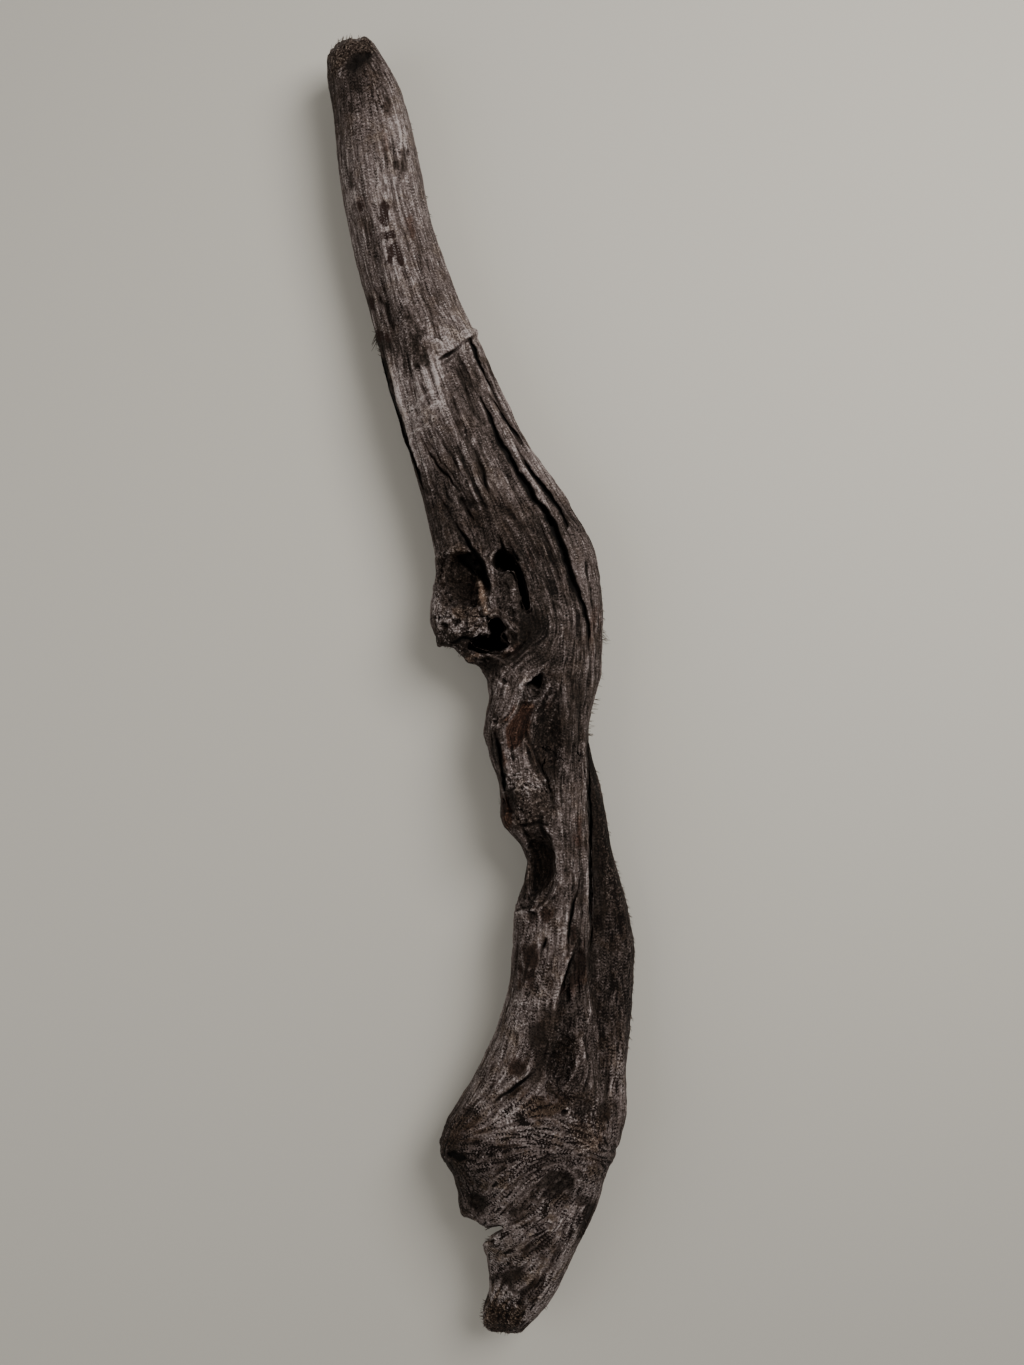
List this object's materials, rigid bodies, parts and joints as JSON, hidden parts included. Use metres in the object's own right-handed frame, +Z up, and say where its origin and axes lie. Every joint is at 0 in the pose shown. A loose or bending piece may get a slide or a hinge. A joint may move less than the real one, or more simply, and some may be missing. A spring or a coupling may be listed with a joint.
{
  "type": "driftwood branch",
  "caption": "Long weathered driftwood branch that forks into a hollow broken limb and a fluted stem, then flares to a torn root end; it lies flat on its back.",
  "frame": {"origin": "centre of the bounding box in plan, on the surface that the branch lies on", "axes": "+Y along the branch from the spike towards the top of the shaft, +Z up from the resting surface, +X towards the back limb"},
  "size_m": [0.3071, 1.2998, 0.111],
  "materials": {
    "silvered_wood": "weathered grey with dark brown streaks, dry and fibrous",
    "hollow_wood": "dark brown, rough inside the hollow, with a tan patch of inner wood",
    "shaded_wood": "dark brown-grey, fine fibrous texture",
    "root_wood": "grey over brown, with swirling grain and torn brown fibre at the tip"
  },
  "bodies": {
    "root": {"main_stem": "silvered_wood", "broken_limb": "hollow_wood", "back_limb": "shaded_wood", "root_flare": "root_wood"}
  },
  "joints": []
}
